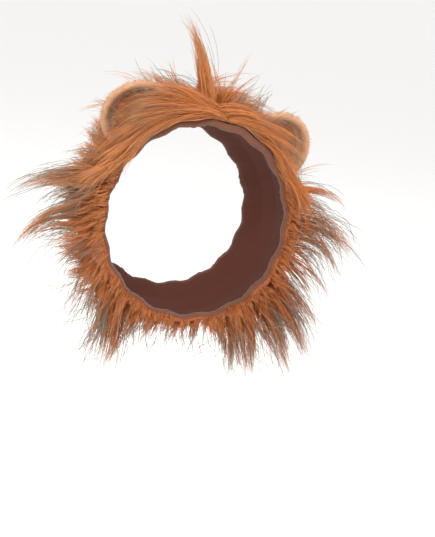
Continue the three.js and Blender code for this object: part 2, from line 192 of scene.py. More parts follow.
# How the pile is combed along the face, between the locks: clock angle, lean, bend, tip towards
# the neck and reach. It parts at PARTING_CLOCK and is swept down both sides of the brow.
COMBED = (
    (-180, 0, 0, 14, 0.24),
    (-165, -4, 0, 10, 0.32),
    (-141, -18, 10, 6, 0.5),
    (-118, -18, -10, 6, 0.42),
    (-95, -10, -20, 4, 0.4),
    (-74, -16, -20, 4, 0.42),
    (-60, -56, -24, 0, 0.55),
    (-38, -76, -38, -4, 0.7),
    (-12, -82, -44, -6, 0.8),
    (6, -76, -40, -6, 0.76),
    (8, 64, 40, -6, 0.7),
    (30, 72, 42, -4, 0.72),
    (52, 66, 36, -2, 0.6),
    (72, 16, 40, 4, 0.4),
    (98, -4, 36, 8, 0.38),
    (120, -12, 20, 8, 0.45),
    (140, 0, 0, 6, 0.55),
    (156, 4, 0, 6, 0.5),
    (168, 4, 0, 10, 0.3),
    (180, 0, 0, 14, 0.24),
)
PARTING_CLOCK = 7
# Degrees by which the parting turns towards the hood's right for a run of one
PARTING_SLANT = 45


# The frame of the hood

def wrapped(clock):
    return (clock + 180) % 360 - 180


def lowness(clock):
    """From 0 at the crown to 1 under the chin."""
    return (1 - np.cos(np.radians(clock))) / 2


def hood_depth(clock):
    return HOOD_DEPTH_TOP + (HOOD_DEPTH_CHIN - HOOD_DEPTH_TOP) * lowness(clock)


def ring_frame(clock):
    """Outward and clockwise unit vectors at clock angles in degrees."""
    a = np.radians(clock)
    zero = np.zeros_like(a)
    outward = np.stack([np.sin(a), zero, np.cos(a)], -1)
    around = np.stack([np.cos(a), zero, -np.sin(a)], -1)
    return outward, around


def hood_point(share, clock, out):
    """Point at a share of the hood's depth, and so far out of the inside of its cloth."""
    a = np.radians(clock)
    face = np.interp(share, HOOD_AT, HOOD_FACE)
    neck = np.interp(share, HOOD_AT, HOOD_NECK)
    crown = 1 - face - neck
    width = face * FACE_WIDTH + neck * NECK_WIDTH + crown * CROWN_WIDTH
    height = face * FACE_HEIGHT + neck * NECK_HEIGHT + crown * CROWN_HEIGHT
    ripple = GATHER_HEIGHT * np.interp(share, HOOD_AT, HOOD_GATHER) * np.cos(GATHER_COUNT * a)
    return np.stack(
        [
            (width / 2 + ripple + out) * np.sin(a),
            FACE_EDGE_Y + CHIN_SETBACK * lowness(clock) + hood_depth(clock) * share,
            RING_CENTRE_Z + (height / 2 + ripple + out) * np.cos(a),
        ],
        -1,
    )


def share_at(run):
    """Share of the hood's depth at a run."""
    return ROOTS_FROM + ROOTS_SPAN * np.clip((run - LIP_RUN) / (1 - LIP_RUN), 0, 1)


def run_at(share):
    return LIP_RUN + (share - ROOTS_FROM) / ROOTS_SPAN * (1 - LIP_RUN)


def fur_depth(clock, share):
    around = np.interp(wrapped(clock), ROUND_CLOCK, ROUND_DEEP)
    return UNDERCOAT_DEPTH * around * np.interp(share, BACK_AT, BACK_DEEP)


def skin_point(run, clock, deep):
    """Point in the dense fur. run goes from 0 at the face hem over the front lip, which ends at
    LIP_RUN, and back to 1 at the neck hem; deep is the share of the fur's depth."""
    lip = np.clip(run / LIP_RUN, 0, 1)
    share = share_at(run)
    cover = np.interp(wrapped(clock), COVER_CLOCK, COVER)
    top = np.maximum(fur_depth(clock, share) * deep + CLOTH_WALL, HEM_STANDS)
    start = HEM_STANDS - LIP_DROP * cover
    out = start + (top - start) * np.sin(lip * math.pi / 2)
    past_hem = FACE_HEM_DEPTH + SEAM_GAP + LIP_OVERHANG
    ahead = past_hem * (1 - lip) * cover + LIP_BULGE * LIP_REACH * np.sin(lip * math.pi)
    place = hood_point(share, clock, out)
    place[..., 1] -= ahead
    return place


# Camera at the photograph's angle

PHOTO_SIZE = (435, 537)
PHOTO_SCALE = 0.92 * MM
OPENING_PIXEL = (195.5, 221)
CAMERA_DISTANCE = 1.6
CAMERA_AZIMUTH = math.radians(-18)
CAMERA_ELEVATION = math.radians(10)
CAMERA_ROLL = math.radians(8)
SENSOR = 24


def place_camera():
    a, e = CAMERA_AZIMUTH, CAMERA_ELEVATION
    look = Vector((-math.sin(a) * math.cos(e), math.cos(a) * math.cos(e), -math.sin(e)))
    right = look.cross(Vector((0, 0, 1))).normalized()
    up = right.cross(look)
    across = right * math.cos(CAMERA_ROLL) + up * math.sin(CAMERA_ROLL)
    upward = up * math.cos(CAMERA_ROLL) - right * math.sin(CAMERA_ROLL)
    aim = Vector((0, FACE_EDGE_Y, RING_CENTRE_Z))
    aim = aim + across * (PHOTO_SIZE[0] / 2 - OPENING_PIXEL[0]) * PHOTO_SCALE
    aim = aim - upward * (PHOTO_SIZE[1] / 2 - OPENING_PIXEL[1]) * PHOTO_SCALE
    data = bpy.data.cameras.new("camera")
    data.sensor_fit = "VERTICAL"
    data.sensor_height = SENSOR
    data.lens = SENSOR * CAMERA_DISTANCE / (PHOTO_SIZE[1] * PHOTO_SCALE)
    camera = bpy.data.objects.new("camera", data)
    bpy.context.scene.collection.objects.link(camera)
    placing = Matrix((across, upward, -look)).transposed().to_4x4()
    placing.translation = aim - look * CAMERA_DISTANCE
    camera.matrix_world = placing
    bpy.context.scene.camera = camera


# Materials

PILE_SPECULAR = 0.35
PLUSH_SHEEN = 0.25
# Mottle of brushed nap, as so many fibre spacings
MOTTLE_SPACINGS = 6
# The cloth's own map repeats so often round the hood, once for about each 98 mm
KNIT_TILES = 6
KNIT_TILE = math.pi * (CROWN_WIDTH + CROWN_HEIGHT) / 2 / KNIT_TILES
KNIT_SPACING = 1.2 * MM
# A wave texture of scale one repeats after this much of its map
WAVE_LENGTH = TAU / 20


def linear(value):
    """sRGB hex to linear RGBA."""
    parts = [int(value[i : i + 2], 16) / 255 for i in (1, 3, 5)]
    return [p / 12.92 if p <= 0.04045 else ((p + 0.055) / 1.055) ** 2.4 for p in parts] + [1.0]


def set_sockets(tree, node, sockets):
    """Sets inputs by name, or by number as _0. A link is (node, output)."""
    for key, value in sockets.items():
        number = key[1:]
        socket = node.inputs[int(number) if number.isdigit() else key.replace("_", " ")]
        if isinstance(value, tuple):
            tree.links.new(value[0].outputs[value[1]], socket)
        else:
            socket.default_value = value


def add_node(tree, kind, settings=None, **sockets):
    """Adds a node with its settings, input values and links."""
    node = tree.nodes.new(kind)
    for key, value in (settings or {}).items():
        setattr(node, key, value)
    set_sockets(tree, node, sockets)
    return node


def new_material(name):
    """An empty material with its node tree and shader."""
    material = bpy.data.materials.new(name)
    material.use_nodes = True
    tree = material.node_tree
    tree.nodes.clear()
    shader = add_node(tree, "ShaderNodeBsdfPrincipled")
    add_node(tree, "ShaderNodeOutputMaterial", Surface=(shader, 0))
    return material, tree, shader


def pile_material(name, tones, tip, tip_from, tip_to, roughness):
    """Heat-set acrylic pile, dyed orange: silky strands of many tones, each with a soft gleam
    along it. Guard hairs are printed grey brown towards the tip. The map's first axis picks the
    strand's tone, and its second runs from root to tip. The shader's own IOR suits acrylic."""
    material, tree, shader = new_material(name)
    uv = add_node(tree, "ShaderNodeUVMap", {"uv_map": "OFBake"})
    split = add_node(tree, "ShaderNodeSeparateXYZ", _0=(uv, 0))
    tone = add_node(tree, "ShaderNodeValToRGB", _0=(split, 0))
    ramp = tone.color_ramp
    ramp.elements.remove(ramp.elements[1])
    ramp.elements[0].position = 0
    ramp.elements[0].color = linear(tones[0][1])
    for place, colour in tones[1:]:
        ramp.elements.new(place).color = linear(colour)
    fade = {"interpolation_type": "SMOOTHSTEP"}
    ageing = add_node(tree, "ShaderNodeMapRange", fade, _0=(split, 1), _1=tip_from, _2=tip_to)
    colours = {"data_type": "RGBA"}
    mix = add_node(tree, "ShaderNodeMix", colours, _0=(ageing, 0), _6=(tone, 0), _7=linear(tip))
    surface = {"Base_Color": (mix, 2), "Roughness": roughness, "Specular_IOR_Level": PILE_SPECULAR}
    set_sockets(tree, shader, surface)
    return material


def plush_material(name, light, dark, spacing):
    """Sheared polyester plush: matt, with a soft mottle where the nap lies different ways. Its
    fibres are a few hundredths of a millimetre thick, and their spacing is drawn at about a
    millimetre so that it shows."""
    material, tree, shader = new_material(name)
    place = add_node(tree, "ShaderNodeTexCoord")
    nap, fibre = [
        add_node(tree, "ShaderNodeTexNoise", Vector=(place, 3), Scale=1 / size, Detail=detail)
        for size, detail in ((spacing * MOTTLE_SPACINGS * MM, 4.0), (spacing * MM, 2.0))
    ]
    shades = {"_6": linear(dark), "_7": linear(light)}
    mix = add_node(tree, "ShaderNodeMix", {"data_type": "RGBA"}, _0=(nap, 0), **shades)
    bump = add_node(tree, "ShaderNodeBump", Strength=0.6, Distance=0.6 * MM, Height=(fibre, 0))
    surface = {"Base_Color": (mix, 2), "Normal": (bump, 0)}
    set_sockets(tree, shader, {**surface, "Roughness": 0.9, "Sheen_Weight": PLUSH_SHEEN})
    return material


def knit_material():
    """Warp-knit polyester backing: matt, with fine ribs of loops both ways. Real ones are half a
    millimetre apart, and these are drawn at KNIT_SPACING so that they show."""
    material, tree, shader = new_material("warp_knit_backing")
    uv = add_node(tree, "ShaderNodeUVMap", {"uv_map": "cloth"})
    scale = round(WAVE_LENGTH * KNIT_TILE / KNIT_SPACING)
    wales, courses = [
        add_node(
            tree,
            "ShaderNodeTexWave",
            {"wave_type": "BANDS", "bands_direction": axis},
            Vector=(uv, 0),
            Scale=scale,
            Distortion=0.6,
        )
        for axis in "XY"
    ]
    product = {"operation": "MULTIPLY"}
    both = add_node(tree, "ShaderNodeMath", product, _0=(wales, 1), _1=(courses, 1))
    # The grooves between the loops are drawn in the darker brown: painted shade between the loops
    shades = {"_6": linear("#4a2013"), "_7": linear("#7d3d24")}
    mix = add_node(tree, "ShaderNodeMix", {"data_type": "RGBA"}, _0=(both, 0), **shades)
    bump = add_node(tree, "ShaderNodeBump", Strength=0.5, Distance=0.4 * MM, Height=(both, 0))
    surface = {"Base_Color": (mix, 2), "Normal": (bump, 0), "Roughness": 0.95}
    set_sockets(tree, shader, surface)
    return material


# Floor and light

FLOOR_DROP = 370 * MM
FLOOR_SIZE = 400
# Area lights: name, place, size and watts
LIGHTS = (
    ("key", (-0.9, -1.5, 1.2), 1.0, 30),
    ("top", (0.3, 0.1, 1.7), 1.2, 16),
    ("fill", (1.2, -1.3, 0.1), 1.2, 8),
)


def make_stage():
    """Pale paper floor in a white studio, with three soft lights."""
    scene = bpy.context.scene
    scene.view_settings.view_transform = "Standard"
    bpy.ops.mesh.primitive_plane_add(size=FLOOR_SIZE, location=(0, 0, -FLOOR_DROP))
    floor = bpy.context.object
    floor.name = "floor"
    paper, tree, shader = new_material("floor_paper")
    set_sockets(tree, shader, {"Base_Color": linear("#f4f3f1"), "Roughness": 0.9})
    floor.data.materials.append(paper)
    scene.world = bpy.data.worlds.new("studio")
    scene.world.use_nodes = True
    background = scene.world.node_tree.nodes["Background"]
    background.inputs[0].default_value = linear("#ffffff")
    background.inputs[1].default_value = 1.0
    for name, where, size, watts in LIGHTS:
        data = bpy.data.lights.new(name, "AREA")
        data.size = size
        data.energy = watts
        lamp = bpy.data.objects.new(name, data)
        scene.collection.objects.link(lamp)
        lamp.location = where
        aim = Vector((0, 0, RING_CENTRE_Z)) - Vector(where)
        lamp.rotation_euler = aim.to_track_quat("-Z", "Y").to_euler()


# Locks of the mane

# Thin locks between the charted ones: how many, where round the ring and from the face back,
# shares of the charted reach, scatter of lean, bend and tip, and least and most width and body.
# They follow the charted locks beyond SIDE_CLOCK.
THIN_LOCKS = 44
THIN_CLOCK = (64, 176)
THIN_SHARE = (0.1, 0.4)
THIN_REACH = (0.6, 1.12)
THIN_SCATTER = (8, 14, 6)
THIN_WIDTH_BODY = ((0.22, 0.3), (0.42, 1.0))
SIDE_CLOCK = 60
# Shares of the depth at which the face locks are rooted in turn
FACE_ROOTS = (0.07, 0.15)


def thin_rows():
    """Thin locks at the sides, which share the fall of the charted ones beside them."""
    rng = np.random.default_rng(5)
    chart = np.array(sorted(row for row in FACE_LOCKS if abs(row[0]) > SIDE_CLOCK))
    rows = []
    for _ in range(THIN_LOCKS):
        clock = rng.uniform(*THIN_CLOCK) * rng.choice((-1, 1))
        reach, lean, bend, back = [np.interp(clock, chart[:, 0], chart[:, k]) for k in range(1, 5)]
        reach *= rng.uniform(*THIN_REACH)
        lean, bend, back = rng.normal((lean, bend, back), THIN_SCATTER)
        width, body = rng.uniform(*THIN_WIDTH_BODY)
        rows.append((clock, rng.uniform(*THIN_SHARE), lean, bend, back, reach, width, body))
    return rows


def back_rows():
    """Locks behind the face. Two waves set them off from a plain grid."""
    rows = []
    for r, (at, count, start, end, reach, back, width) in enumerate(BACK_ROWS):
        for i in range(count):
            wave = math.sin(2.4 * i + 1.7 * r)
            other = math.cos(3.1 * i - 0.9 * r)
            clock = start + (end - start) * i / (count - 1)
            flat = np.interp(clock, FLAT_CLOCK, FLAT)
            own_reach = reach * np.interp(clock, BACK_ROUND_CLOCK, BACK_ROUND) * (1 + 0.18 * wave)
            turns = (12 * wave, 26 * other, back + 6 * wave + flat)
            rows.append((clock + 5 * other, run_at(at), *turns, own_reach, width, 1.0))
    return rows


def lock_rows():
    """All locks: clock, run, lean, bend, back, reach, width, body."""
    front = [(run_at(FACE_ROOTS[i % 2]), row) for i, row in enumerate(FACE_LOCKS)]
    front += [(0.5 * LIP_RUN, row) for row in BROW_LOCKS]
    rows = [(row[0], run, *row[2:5], row[1], *row[5:]) for run, row in front]
    return np.array(rows + back_rows() + thin_rows())


LOCKS = lock_rows()
BROW_START = len(FACE_LOCKS)
REST_START = BROW_START + len(BROW_LOCKS)
THIN_START = len(LOCKS) - THIN_LOCKS
FACE_ROWS = np.arange(BROW_START)
BROW_ROWS = np.arange(BROW_START, REST_START)
REST_ROWS = np.arange(REST_START, THIN_START)
THIN_ROWS = np.arange(THIN_START, len(LOCKS))


# Guide curves

STEPS = np.linspace(0, 1, 9)
DROOP = 0.5
# A strand has its final tilt from one over this of its length on
TILT_PACE = 1.6
ROOT_RADIUS = 100 * MM
GIRTH_PER_DEGREE = ROOT_RADIUS * TAU / 360
MEAN_DEPTH = (HOOD_DEPTH_TOP + HOOD_DEPTH_CHIN) / 2

# Tilt of the roots towards the neck by run: forward on the lip, and more and more back behind it
ROOT_RUN = (0, LIP_RUN, 0.4, 1)
ROOT_TILT = (-50, -10, 25, 55)

# Where the combed fringe gives way to the pile behind it, deeper over the brow
BROW_SPREAD = 45
FRINGE_RUN = 1.6 * LIP_RUN
BROW_RUN = 0.22
FRINGE_FADE = 0.12
# How much less the brow's fringe leans as it goes back, left and right of the parting
LEAN_LOST = (0.05, 0.3)
LEAN_LOST_FROM = 0.08
LEAN_LOST_OVER = 0.35
# The pile behind: its reach, and its tilt at the face, towards the neck and for each flat degree
BEHIND_REACH = 0.55
BEHIND_TILT = (58, 8, 0.6)
# A tuck over the hem is undone within this clock angle, where the hem shows
HEM_SHOWS = 38
HEM_SHOWS_SHARE = 0.8

# Scatter in degrees of lean, bend and tilt: on tidy pile, and what stray hairs have more of it
COAT_SCATTER = ((5, 11), (6, 20), (5, 8))
LOCK_SCATTER = ((4, 12), (8, 12), (3, 10))
COMBING_SCATTER = 3
COAT_VARIETY = (0.7, 1.1)
# Wisps of a lock: how far their roots spread over its half width, round the ring and back, the
# degrees that the outer ones turn and tilt away, their length in the middle with its loss
# outwards and its least, and how that varies
LOCK_SPREAD = (0.5, 0.4)
LOCK_TURN = 5
LOCK_TILT = 6
LOCK_TAPER = (1.1, 0.22, 0.45)
LOCK_VARIETY = (0.84, 1.04)
LOCK_MIDDLE_DEEP = 0.3
LOCK_DEEP = (0.4, 0.75)
LOCK_RUN = (0.03, 0.98)


def scatter(rng, count, stray, tidy, wild):
    """Degrees off the combing, for pile that is so stray."""
    return rng.normal(0, tidy + wild * stray, count)


def strand_path(root, clock, lean, bend, rise_root, rise_tip, length):
    """Curves that leave their roots at a heading and turn as they go: (strands, steps, 3)."""
    outward, around = ring_frame(clock)
    points = [root]
    for low, high in zip(STEPS[:-1], STEPS[1:]):
        t = (low + high) / 2
        turn = np.radians(lean + bend * t * (1 + DROOP * t))[:, None]
        rise = np.radians(rise_root + (rise_tip - rise_root) * min(1, TILT_PACE * t))[:, None]
        ahead = outward * np.cos(turn) * np.cos(rise) + around * np.sin(turn) * np.cos(rise)
        ahead[:, 1] += np.sin(rise[:, 0])
        points.append(points[-1] + ahead * (length * (high - low))[:, None])
    return np.stack(points, 1)


def sample(paths, place):
    """Points of each path at places from 0 to 1: place is (strands, steps)."""
    cells = np.clip(place, 0, 1) * (paths.shape[1] - 1)
    low = np.floor(cells).astype(int).clip(0, paths.shape[1] - 2)
    part = (cells - low)[..., None]
    rows = np.arange(len(paths))[:, None]
    return paths[rows, low] * (1 - part) + paths[rows, low + 1] * part


def root_rise(run):
    return np.interp(run, ROOT_RUN, ROOT_TILT)


def coat_wisps(rng, count, run_span, clock_span, reach_scale, deep_span, stray, tuck):
    """Guide curves of the pile between the locks, which follow its combing. A tuck turns their
    roots forward and in over the hem, least at the brow, where the hem shows."""
    run = rng.uniform(*run_span, count)
    clock = wrapped(rng.uniform(*clock_span, count))
    table = np.array(COMBED)
    combed = clock + PARTING_SLANT * (run - LIP_RUN) + rng.normal(0, COMBING_SCATTER, count)
    combed = np.clip(combed, -180, 180)
    lean, bend, rise, reach = [np.interp(combed, table[:, 0], table[:, k]) for k in range(1, 5)]
    brow = np.exp(-((clock / BROW_SPREAD) ** 4))
    front = np.clip(1 - (run - FRINGE_RUN - BROW_RUN * brow) / FRINGE_FADE, 0, 1)
    lost = np.where(combed > PARTING_CLOCK, *LEAN_LOST)
    lift = 1 - lost * brow * np.clip((run - LEAN_LOST_FROM) / LEAN_LOST_OVER, 0, 1)
    lean = lean * front * lift + scatter(rng, count, stray, *COAT_SCATTER[0])
    bend = bend * front + scatter(rng, count, stray, *COAT_SCATTER[1])
    tilt, tilt_back, tilt_flat = BEHIND_TILT
    flat = np.interp(clock, FLAT_CLOCK, FLAT)
    behind_rise = tilt + tilt_back * share_at(run) + tilt_flat * flat
    rise = rise * front + behind_rise * (1 - front) + scatter(rng, count, stray, *COAT_SCATTER[2])
    behind = BEHIND_REACH * np.interp(clock, BACK_ROUND_CLOCK, BACK_ROUND)
    reach = (reach * front + behind * (1 - front)) * rng.uniform(*COAT_VARIETY, count)
    root = skin_point(run, clock, rng.uniform(*deep_span, count))
    hem_shows = HEM_SHOWS_SHARE * np.exp(-((clock / HEM_SHOWS) ** 2))
    start = root_rise(run) - tuck * (1 - hem_shows)
    length = reach * reach_scale * PILE_LENGTH
    return strand_path(root, clock, lean, bend, start, rise, length), clock


def lock_wisps(rng, rows, per_lock, reach_scale, closing, stray, guard):
    """Guide curves of the wisps in each lock, apart at the root and closing up by the tip."""
    clock, run, lean, bend, back, reach, width, body = LOCKS[rows].T
    middle = skin_point(run, clock, LOCK_MIDDLE_DEEP)
    centre = strand_path(middle, clock, lean, bend, back, back, reach * PILE_LENGTH)
    full = width * reach * (1 if guard else body)
    pick = np.repeat(np.arange(len(clock)), np.maximum(2, per_lock * full).astype(int))
    count = len(pick)
    across, along = rng.normal(0, 1, (2, count)).clip(-2, 2)
    far = np.hypot(across, along)
    half = width[pick] * LOCK_WIDTH / 2
    root_clock = clock[pick] + LOCK_SPREAD[0] * across * half / GIRTH_PER_DEGREE
    root_run = np.clip(run[pick] + LOCK_SPREAD[1] * along * half / MEAN_DEPTH, *LOCK_RUN)
    own_lean = lean[pick] + LOCK_TURN * across + scatter(rng, count, stray, *LOCK_SCATTER[0])
    own_bend = bend[pick] + scatter(rng, count, stray, *LOCK_SCATTER[1])
    own_rise = back[pick] + LOCK_TILT * along + scatter(rng, count, stray, *LOCK_SCATTER[2])
    most, loss, least = LOCK_TAPER
    scale = np.clip(most - loss * far, least, most) * rng.uniform(*LOCK_VARIETY, count)
    scale *= reach_scale
    length = scale * reach[pick] * PILE_LENGTH
    root = skin_point(root_run, root_clock, rng.uniform(*LOCK_DEEP, count))
    start = root_rise(root_run)
    paths = strand_path(root, root_clock, own_lean, own_bend, start, own_rise, length)
    target = sample(centre[pick], STEPS[None, :] * scale[:, None])
    amount = rng.uniform(*closing, count)[:, None] * STEPS[None, :] ** 0.8
    return paths * (1 - amount[..., None]) + target * amount[..., None], root_clock


# Hairs

# A wisp's hairs come together by this share, and sag by this share of their length
WISP_CLOSES = 0.65
HAIR_SAG = 0.05
# Radians of a curl's wave along a hair
CURL_TURN = 4.0
HAIR_SIDES = 3
TONE_CELLS = 255


def hair_block(rng, guides, per_wisp, spread, splay, shorten, curl):
    """Hairs round each guide: they start apart, close up and splay a little at the tip."""
    count = len(guides) * per_wisp
    path = np.repeat(guides, per_wisp, 0)
    length = np.linalg.norm(np.diff(path, axis=1), axis=2).sum(1)
    offset = rng.normal(0, 1, (count, 3))
    offset /= np.linalg.norm(offset, axis=1)[:, None]
    offset *= spread * rng.uniform(0.1, 1, count)[:, None] ** 0.5
    wander = rng.normal(0, 1, (count, 3)) * splay * length[:, None]
    wave = rng.normal(0, 1, (count, 3)) * curl * length[:, None]
    phase = rng.uniform(0, TAU, count)[:, None, None]
    t = STEPS[None, :, None]
    path = sample(path, STEPS[None, :] * rng.uniform(*shorten, count)[:, None])
    swing = np.sin(phase + CURL_TURN * t) - np.sin(phase)
    fall = np.array([0, 0, -HAIR_SAG]) * length[:, None, None] * t**2
    shape = path + offset[:, None, :] * (1 - WISP_CLOSES * t**0.8)
    return shape + wander[:, None, :] * t**1.6 + wave[:, None, :] * swing * t + fall


def resample(paths, segments):
    """The paths with fewer points, which stand a little closer towards the tip."""
    place = np.linspace(0, 1, segments + 1) ** 0.85 * (paths.shape[1] - 1)
    low = np.floor(place).astype(int).clip(0, paths.shape[1] - 2)
    part = (place - low)[None, :, None]
    return paths[:, low] * (1 - part) + paths[:, low + 1] * part


def tube_faces(segments):
    """One hair's triangles, the height of their corners and their columns round the hair."""
    faces, heights, columns = [], [], []
    for i in range(segments):
        low, high = i / segments, (i + 1) / segments
        for k in range(HAIR_SIDES):
            a, b = HAIR_SIDES * i + k, HAIR_SIDES * i + (k + 1) % HAIR_SIDES
            if i < segments - 1:
                faces += [(a, b, b + HAIR_SIDES), (a, b + HAIR_SIDES, a + HAIR_SIDES)]
                heights += [(low, low, high), (low, high, high)]
                columns += [(k, k + 1, k + 1), (k, k + 1, k)]
            else:
                faces.append((a, b, HAIR_SIDES * segments))
                heights.append((low, low, 1))
                columns.append((k, k + 1, k + 0.5))
    faces.append((0, 2, 1))
    heights.append((0.0, 0.01, 0.0))
    columns.append((0, 1, 2))
    return np.array(faces), np.array(heights), np.array(columns)


def hair_mesh(name, paths, segments, thick_root, thick_tip, rng, tone):
    """One closed three-sided tapered tube a hair. The map runs across by tone and up the hair."""
    points = resample(paths, segments)
    count = len(points)
    along = np.gradient(points, axis=1)
    along /= np.linalg.norm(along, axis=2)[..., None] + 1e-12
    helper = rng.normal(0, 1, (count, 1, 3))
    side = np.cross(along, helper)
    side /= np.linalg.norm(side, axis=2)[..., None] + 1e-12
    other = np.cross(along, side)
    t = np.linspace(0, 1, segments + 1)[:-1]
    thick = (thick_root + (thick_tip - thick_root) * t) / 2
    thick = thick[None, :] * rng.uniform(0.75, 1.25, (count, 1))
    rings = []
    for k in range(HAIR_SIDES):
        a = TAU * k / HAIR_SIDES
        shift = side[:, :-1] * math.cos(a) + other[:, :-1] * math.sin(a)
        rings.append(points[:, :-1] + shift * thick[..., None])
    ring_points = np.stack(rings, 2).reshape(count, segments * HAIR_SIDES, 3)
    vertices = np.concatenate([ring_points, points[:, -1:]], 1)
    per_hair = segments * HAIR_SIDES + 1
    faces, heights, columns = tube_faces(segments)
    triangles = (faces[None] + (np.arange(count) * per_hair)[:, None, None]).reshape(-1, 3)
    mesh = bpy.data.meshes.new(name)
    mesh.vertices.add(count * per_hair)
    mesh.vertices.foreach_set("co", vertices.reshape(-1))
    mesh.loops.add(triangles.size)
    mesh.loops.foreach_set("vertex_index", triangles.reshape(-1).astype(np.int32))
    mesh.polygons.add(len(triangles))
    mesh.polygons.foreach_set("loop_start", np.arange(0, triangles.size, 3, dtype=np.int32))
    mesh.polygons.foreach_set("use_smooth", np.ones(len(triangles), bool))
    mesh.update(calc_edges=True)
    # Each tone has a narrow cell of the map, and a hair keeps inside its own
    cell = np.floor(tone.clip(0, 0.999) * TONE_CELLS)[:, None, None]
    u = (cell + 0.2 + 0.2 * columns[None]) * (1 / (TONE_CELLS + 1))
    v = np.broadcast_to(heights[None] * 0.98 + 0.01, u.shape)
    uv = mesh.uv_layers.new(name="OFBake")
    uv.data.foreach_set("uv", np.stack([u, v], -1).reshape(-1).astype(np.float32))
    mesh.validate()
    piece = bpy.data.objects.new(name, mesh)
    bpy.context.scene.collection.objects.link(piece)
    return piece


# Pieces of the hood

RING_STEPS = 252
BASE_STEPS = 26
BASE_INNER_STEPS = 8
BASE_DEEP = 0.5
BASE_LUMPS = 0.06
BASE_CLEARANCE = 0.4 * MM
HEM_STEPS = 14
SHEET_STEPS = 216
SHEET_ROWS = 26
SHEET_PUCKER = 0.35 * MM
SHEET_PUCKERS = 67


def deselect():
    if bpy.context.mode != "OBJECT":
        bpy.ops.object.mode_set(mode="OBJECT")
    bpy.ops.object.select_all(action="DESELECT")


def select_only(piece):
    deselect()
    piece.select_set(True)
    bpy.context.view_layer.objects.active = piece


def finish_piece(piece, material, slot, *replaced):
    piece.data.materials.clear()
    piece.data.materials.append(material)
    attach(piece, "root")
    if replaced:
        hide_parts(*replaced)


def apply_modifier(piece, kind, **settings):
    select_only(piece)
    modifier = piece.modifiers.new(kind.lower(), kind)
    for key, value in settings.items():
        setattr(modifier, key, value)
    bpy.ops.object.modifier_apply(modifier=modifier.name)


def copy_of_node(node, name):
    """A CAD node's mesh as a new closed piece."""
    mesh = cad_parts[node].data.copy()
    mesh.name = name
    piece = bpy.data.objects.new(name, mesh)
    bpy.context.scene.collection.objects.link(piece)
    work = bmesh.new()
    work.from_mesh(mesh)
    bmesh.ops.remove_doubles(work, verts=work.verts, dist=1e-6)
    work.to_mesh(mesh)
    work.free()
    return piece


def ring_piece(name, steps):
    """A new ring of RING_STEPS sections, with the clock angle and the step of each point."""
    deselect()
    bpy.ops.mesh.primitive_torus_add(
        major_radius=1, minor_radius=0.1, major_segments=RING_STEPS, minor_segments=steps
    )
    piece = bpy.context.object
    piece.name = name
    index = np.arange(RING_STEPS * steps)
    return piece, -180 + 360 * (index // steps) / RING_STEPS, index % steps


def shape_ring(piece, place):
    """Moves a ring's points to their places, with its faces outwards and smooth."""
    piece.data.vertices.foreach_set("co", place.reshape(-1))
    piece.location = (0, 0, 0)
    work = bmesh.new()
    work.from_mesh(piece.data)
    bmesh.ops.recalc_face_normals(work, faces=work.faces)
    work.to_mesh(piece.data)
    work.free()
    select_only(piece)
    bpy.ops.object.shade_smooth()


def shaded_underfur_base(material):
    """Base of the pile, between the backing cloth and the roots that show: a ring drawn
    through the dense fur, in a darker colour that is painted shade deep in the fur."""
    piece, clock, step = ring_piece("mane_underfur", BASE_STEPS)
    outer = BASE_STEPS - BASE_INNER_STEPS
    run = np.clip(step / (outer - 1), 0, 1) ** 1.3
    a = np.radians(clock)
    waves = np.sin(17 * a + 9 * run) + np.sin(29 * a - 14 * run) * np.sin(8 * run)
    outside = skin_point(run, clock, BASE_DEEP + BASE_LUMPS * waves)
    back = np.clip((BASE_STEPS - 1 - step) / (BASE_INNER_STEPS - 1), 0, 1)
    inside = hood_point(ROOTS_FROM + ROOTS_SPAN * back, clock, CLOTH_WALL + BASE_CLEARANCE)
    shape_ring(piece, np.where((step < outer)[:, None], outside, inside))
    finish_piece(piece, material, "long_pile", "mane_fur")
    return piece


def hem_roll(name, node, share, side, depth, material):
    """Folded hem on elastic: a flat roll with small puckers between the gathers."""
    piece, clock, step = ring_piece(name, HEM_STEPS)
    turn = TAU * step / HEM_STEPS
    rise = HEM_RISE * (0.5 + 0.5 * np.sin(turn)) - HEM_INSET
    deep = depth * (0.5 - 0.5 * np.cos(turn))
    a = np.radians(clock)
    pucker = 0.3 * MM * np.sin(a * 61) + 0.25 * MM * np.sin(a * 97 + 1)
    pucker *= 0.6 + 0.4 * np.sin(a * 5 + 2)
    place = hood_point(np.full(len(clock), share), clock, rise + pucker * np.sin(turn))
    place[:, 1] += side * (SEAM_GAP + deep)
    shape_ring(piece, place)
    finish_piece(piece, material, "hem_cloth", node)
    return piece


